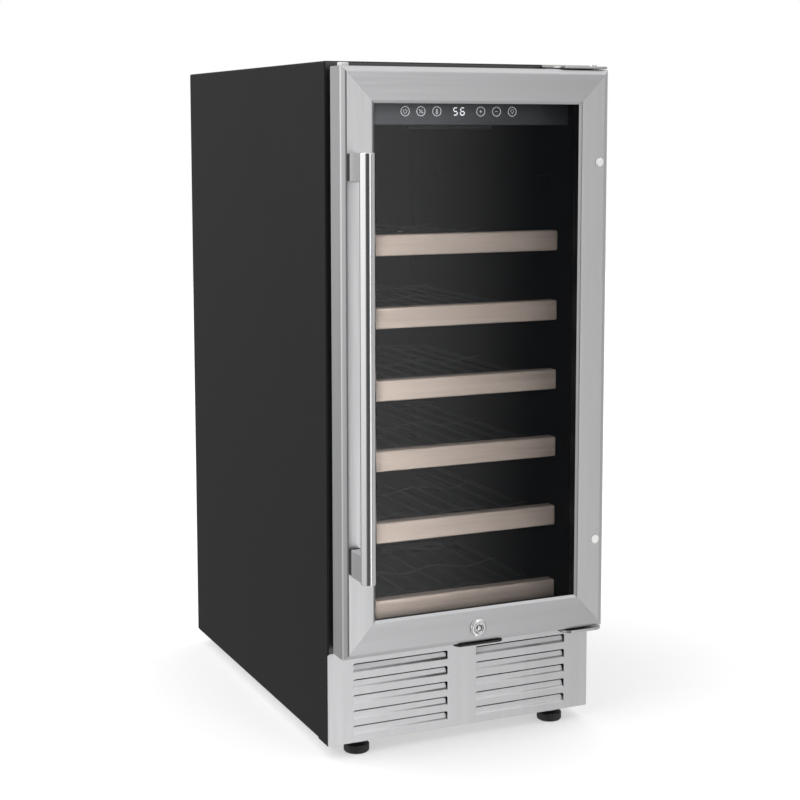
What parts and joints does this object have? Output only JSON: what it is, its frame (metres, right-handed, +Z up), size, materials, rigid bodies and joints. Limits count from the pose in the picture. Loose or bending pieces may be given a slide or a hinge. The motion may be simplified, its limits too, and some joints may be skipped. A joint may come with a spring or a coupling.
{
  "type": "wine cooler",
  "caption": "Upright under-counter wine cooler with a stainless framed glass door, bar handle, key lock, slide-out wooden-fronted shelves and a louvred kick plate.",
  "frame": {"origin": "centre of the footprint on the floor, under the feet", "axes": "+Z up; +X to the right of someone facing the door; +Y towards the back"},
  "size_m": [0.375, 0.649, 0.874],
  "materials": {
    "black_paint": "satin black enamel",
    "stainless": "fine brushed",
    "polished_steel": "polished",
    "zinc_steel": "zinc plated",
    "black_plastic": "fine moulded texture",
    "panel_plastic": "smooth dark",
    "white_plastic": "satin white",
    "rubber": "matte",
    "tinted_glass": "dark tinted",
    "liner_plastic": "fine moulded texture",
    "foam": "rigid polyurethane foam",
    "beech": "sealed beech",
    "black_wire": "black coated wire",
    "copper": "drawn copper tube",
    "compressor_black": "black enamel",
    "aluminium": "mill finish",
    "circuit_green": "solder mask"
  },
  "bodies": {
    "cabinet": {"cabinet_shell": "black_paint", "rear_panel": "black_paint", "machine_deck": "zinc_steel", "base_pan": "zinc_steel", "inner_liner": "liner_plastic", "foam_insulation": "foam", "kick_plate": "stainless", "lock_strike": "black_plastic", "machine_cover": "black_paint", "power_inlet": "black_plastic", "hinge_upper": "zinc_steel", "hinge_lower": "zinc_steel", "hinge_pin_upper": "zinc_steel", "hinge_pin_lower": "zinc_steel", "control_panel": "panel_plastic", "control_board": "circuit_green", "interior_light": "white_plastic", "air_duct_cover": "liner_plastic", "temperature_sensor": "white_plastic", "evaporator": "aluminium", "evaporator_fan_frame": "black_plastic", "compressor": "compressor_black", "drip_tray": "black_plastic", "condenser_coil": "copper", "condenser_fan_frame": "black_plastic", "filter_drier": "copper", "refrigerant_pipe": "copper"},
    "door": {"door_frame": "stainless", "door_inner_frame": "black_plastic", "outer_glass": "tinted_glass", "inner_glass": "tinted_glass", "glass_spacer": "aluminium", "door_gasket": "rubber", "handle_bar": "polished_steel", "handle_post_upper": "polished_steel", "handle_post_lower": "polished_steel", "hole_plug_upper": "white_plastic", "hole_plug_lower": "white_plastic", "spare_hinge_bushing": "white_plastic", "lock_body": "polished_steel"},
    "lock": {"lock_plug": "polished_steel", "lock_cam": "zinc_steel"},
    "evaporator_fan": {"evaporator_fan_rotor": "black_plastic"},
    "condenser_fan": {"condenser_fan_rotor": "black_plastic"},
    "shelf_1": {"shelf_front_1": "beech", "shelf_rack_1": "black_wire"},
    "shelf_2": {"shelf_front_2": "beech", "shelf_rack_2": "black_wire"},
    "shelf_3": {"shelf_front_3": "beech", "shelf_rack_3": "black_wire"},
    "shelf_4": {"shelf_front_4": "beech", "shelf_rack_4": "black_wire"},
    "shelf_5": {"shelf_front_5": "beech", "shelf_rack_5": "black_wire"},
    "shelf_6": {"shelf_front_6": "beech", "shelf_rack_6": "black_wire"},
    "front_left_foot": {"foot_front_left": "rubber"},
    "front_right_foot": {"foot_front_right": "rubber"},
    "rear_left_foot": {"foot_rear_left": "rubber"},
    "rear_right_foot": {"foot_rear_right": "rubber"}
  },
  "joints": [
    {"name": "door_swing", "type": "hinge", "parent": "cabinet", "child": "door", "pos_m": [0.1725, -0.247, 0.5045], "axis": [0, 0, 1], "range_deg": [0, 120]},
    {"name": "lock_turn", "type": "hinge", "parent": "door", "child": "lock", "pos_m": [0, -0.2535, 0.162], "axis": [0, 1, 0], "range_deg": [0, 90]},
    {"name": "evaporator_fan_spin", "type": "hinge", "parent": "cabinet", "child": "evaporator_fan", "pos_m": [0, 0.2585, 0.71], "axis": [0, -1, 0], "continuous": true},
    {"name": "condenser_fan_spin", "type": "hinge", "parent": "cabinet", "child": "condenser_fan", "pos_m": [0.09, -0.1015, 0.076], "axis": [0, 1, 0], "continuous": true},
    {"name": "shelf_1_slide", "type": "slide", "parent": "cabinet", "child": "shelf_1", "axis": [0, -1, 0], "range_m": [0, 0.068]},
    {"name": "shelf_2_slide", "type": "slide", "parent": "cabinet", "child": "shelf_2", "axis": [0, -1, 0], "range_m": [0, 0.068]},
    {"name": "shelf_3_slide", "type": "slide", "parent": "cabinet", "child": "shelf_3", "axis": [0, -1, 0], "range_m": [0, 0.068]},
    {"name": "shelf_4_slide", "type": "slide", "parent": "cabinet", "child": "shelf_4", "axis": [0, -1, 0], "range_m": [0, 0.068]},
    {"name": "shelf_5_slide", "type": "slide", "parent": "cabinet", "child": "shelf_5", "axis": [0, -1, 0], "range_m": [0, 0.068]},
    {"name": "shelf_6_slide", "type": "slide", "parent": "cabinet", "child": "shelf_6", "axis": [0, -1, 0], "range_m": [0, 0.068]},
    {"name": "front_left_foot_height", "type": "slide", "parent": "cabinet", "child": "front_left_foot", "axis": [0, 0, -1], "range_m": [0, 0.012]},
    {"name": "front_right_foot_height", "type": "slide", "parent": "cabinet", "child": "front_right_foot", "axis": [0, 0, -1], "range_m": [0, 0.012]},
    {"name": "rear_left_foot_height", "type": "slide", "parent": "cabinet", "child": "rear_left_foot", "axis": [0, 0, -1], "range_m": [0, 0.012]},
    {"name": "rear_right_foot_height", "type": "slide", "parent": "cabinet", "child": "rear_right_foot", "axis": [0, 0, -1], "range_m": [0, 0.012]}
  ],
  "couplings": [
    {"joint": "shelf_1_slide", "follows": "door_swing", "m_per_rad": 0.032},
    {"joint": "shelf_2_slide", "follows": "door_swing", "m_per_rad": 0.032},
    {"joint": "shelf_3_slide", "follows": "door_swing", "m_per_rad": 0.032},
    {"joint": "shelf_4_slide", "follows": "door_swing", "m_per_rad": 0.032},
    {"joint": "shelf_5_slide", "follows": "door_swing", "m_per_rad": 0.032},
    {"joint": "shelf_6_slide", "follows": "door_swing", "m_per_rad": 0.032}
  ]
}
